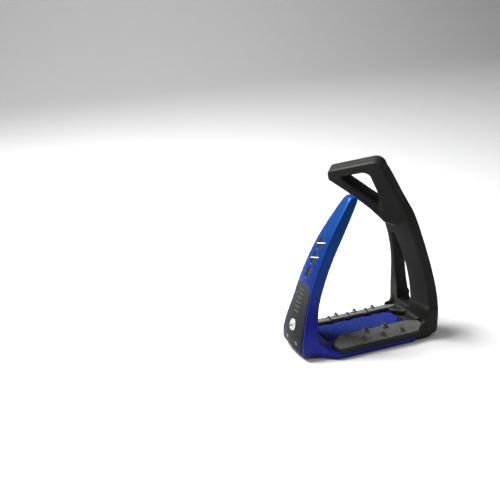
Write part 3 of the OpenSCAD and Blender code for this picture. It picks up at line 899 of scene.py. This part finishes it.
def build_slots_and_lines():
    slots = solid("slot_fills", slots_field, (-52, -4.5, 72), (-32, 4.5, 108), 0.35,
                  dark_trim("slot_dark", (0.008, 0.009, 0.016), 0.35))
    add(slots, ["slot_inserts"], "arm")
    lines = solid("pale_lines", lines_field, (-48, -7, 87), (-32, 7, 108), 0.2,
                  dark_trim("line_pale", (0.55, 0.6, 0.66), 0.4))
    add(lines, ["accent_lines"], "arm")


def build_medallion():
    """A plain disc in a rim, set in the plate."""
    silver = metal("silver", (0.62, 0.63, 0.64), 0.16)
    bezel = [(0, 0), (MEDAL_R + 0.8, 0)] + arc(MEDAL_R + 0.5, 1.0, 0.3, 0, 90)
    bezel += arc(MEDAL_R - 0.25, 1.0, 0.3, 90, 180) + [(MEDAL_R - 0.55, 0.3), (0, 0.3)]
    add(turned("bezel_ring", bezel, [medal_place()], silver), ["medallion_bezel"], "arm")
    disc = [(0, 0.35), (MEDAL_R - 0.7, 0.35)] + arc(MEDAL_R - 1.0, 0.9, 0.3, 0, 80)
    disc += [(3.3, 1.18), (3.1, 0.98), (2.9, 1.18), (2.3, 1.2), (2.1, 0.95), (0, 1.05)]
    add(turned("medallion_disc", disc, [medal_place()], silver), ["medallion"], "arm")


def build_badge_screws():
    screw = [(0, -0.9), (1.75, -0.9)] + arc(1.55, 0.2, 0.2, 0, 80)
    screw += [(0.95, 0.42), (0.85, -0.2), (0, -0.3)]
    places = []
    z = BADGE_SCREW_Z
    for y in (-BADGE_SCREW_Y, BADGE_SCREW_Y):
        at = (float(arm_out(z)) + 1.5 * (y / 19) ** 2, y, z)
        places.append(Matrix.Translation(at) @ Matrix.Rotation(-math.pi / 2, 4, "Y"))
    steel = metal("steel_small", (0.36, 0.37, 0.39), 0.3)
    add(turned("badge_screw_heads", screw, places, steel, 36), ["badge_screws"], "arm")


def build_blade():
    """Spring blade, curved round the heel under the moulding."""
    bend, level, top, half, thick = 6, 5.2, 62, 7, 0.6
    line = [(x, level) for x in np.linspace(4, HEEL_X + bend, 30)]
    line += [(HEEL_X + bend - bend * math.sin(a), level + bend - bend * math.cos(a))
             for a in np.radians(np.linspace(7.5, 82.5, 11))]
    line += [(float(arm_out(z) + arm_in(z)) / 2, z) for z in np.linspace(13, top, 26)]
    line = np.array(line)
    along = np.gradient(line, axis=0)
    across = np.stack([-along[:, 1], along[:, 0]], 1) / np.linalg.norm(along, axis=1)[:, None]
    verts, faces = [], []
    for (x, z), (nx, nz) in zip(line, across):
        for y, side in ((-half, -1), (half, -1), (half, 1), (-half, 1)):
            verts.append((x + nx * thick * side, y, z + nz * thick * side))
    for i in range(len(line) - 1):
        for k in range(4):
            a, b = 4 * i + k, 4 * i + (k + 1) % 4
            faces.append((a, b, b + 4, a + 4))
    faces += [(3, 2, 1, 0), tuple(len(verts) - 4 + k for k in range(4))]
    piece = new_mesh("flat_spring", verts, faces, metal("spring_steel", (0.42, 0.44, 0.47), 0.25))
    for polygon in piece.data.polygons:
        polygon.use_smooth = False
    add(piece, ["spring_blade"])
    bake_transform(piece)


def finish_hardware():
    """The hidden fasteners keep their CAD shapes."""
    steel = metal("steel", (0.40, 0.41, 0.43), 0.28, on_cad=True)
    brass = metal("brass", (0.72, 0.48, 0.18), 0.3, on_cad=True)
    for name in ("tray_screws", "blade_clamp", "clamp_screws", "blade_rivets", "threaded_inserts"):
        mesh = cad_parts[name].data
        finish = brass if name == "threaded_inserts" else steel
        if not mesh.materials:
            mesh.materials.append(finish)
        for i in range(len(mesh.materials)):
            mesh.materials[i] = finish


# ---------------------------------------------------------------- stage, light and camera


def build_stage():
    """A wide pale floor that turns up into a backdrop behind the stirrup."""
    far, rise, radius = 2.2, 2.0, 0.7
    section = [(-3.0, 0.0), (far - radius, 0.0)]
    section += [(far - radius + radius * math.sin(a), radius - radius * math.cos(a))
                for a in np.radians(np.arange(10, 91, 10))]
    section.append((far, rise))
    verts = [(x, y, z) for y, z in section for x in (-4.0, 4.0)]
    faces = [(2 * i, 2 * i + 1, 2 * i + 3, 2 * i + 2) for i in range(len(section) - 1)]
    mesh = bpy.data.meshes.new("floor")
    mesh.from_pydata(verts, [], faces)
    for polygon in mesh.polygons:
        polygon.use_smooth = True
    floor = bpy.data.objects.new("floor", mesh)
    bpy.context.scene.collection.objects.link(floor)
    m = Nodes("floor_pale")
    m.colour(m.ramp(m.noise(0.004, 2), (0.3, (0.54, 0.54, 0.543)), (0.7, (0.56, 0.56, 0.56))))
    m.put(Roughness=0.75, Specular_IOR_Level=0.2)
    mesh.materials.append(m.material)


def area_light(name, at, aim, size, power):
    light = bpy.data.lights.new(name, "AREA")
    light.shape = "RECTANGLE"
    light.size, light.size_y = size
    light.energy = power
    lamp = bpy.data.objects.new(name, light)
    lamp.location = at
    lamp.rotation_euler = (Vector(aim) - Vector(at)).to_track_quat("-Z", "Y").to_euler()
    bpy.context.scene.collection.objects.link(lamp)


def build_lights():
    middle = (0, 0, 0.06)
    area_light("key_top", (-0.45, 0.34, 0.98), middle, (0.45, 0.4), 36)
    area_light("front_right", (0.80, -0.70, 0.70), middle, (0.5, 0.5), 1.0)
    area_light("left_fill", (-1.0, -0.25, 0.75), middle, (0.5, 0.6), 1.6)
    area_light("backdrop_wash", (0.2, 0.9, 1.6), (0.2, 2.2, 0.7), (1.6, 0.5), 17)
    area_light("floor_wash", (0.3, -1.2, 1.9), (0.3, -2.6, 0), (2.4, 0.8), 30)
    world = bpy.data.worlds.new("studio")
    world.use_nodes = True
    world.node_tree.nodes["Background"].inputs["Color"].default_value = (0.95, 0.96, 0.98, 1)
    world.node_tree.nodes["Background"].inputs["Strength"].default_value = 0.13
    bpy.context.scene.world = world
    bpy.context.scene.view_settings.view_transform = "Standard"


def build_camera():
    """Front left and above, where the stirrup stands to the right of the frame."""
    at, aim, roll = Vector((-0.3369, -0.6182, 0.3518)), Vector((-0.0883, 0.0402, 0.0913)), -2.82
    camera = bpy.data.cameras.new("camera")
    camera.sensor_width = 36
    camera.lens = 58.9
    view = bpy.data.objects.new("camera", camera)
    turn = (aim - at).to_track_quat("-Z", "Y").to_matrix().to_4x4()
    view.matrix_world = Matrix.Translation(at) @ turn @ Matrix.Rotation(math.radians(roll), 4, "Z")
    bpy.context.scene.collection.objects.link(view)
    bpy.context.scene.camera = view


build_camera()
build_lights()
build_stage()
build_black()
build_blue()
build_bars()
build_insert()
build_badge()
build_slots_and_lines()
build_medallion()
build_badge_screws()
build_blade()
finish_hardware()
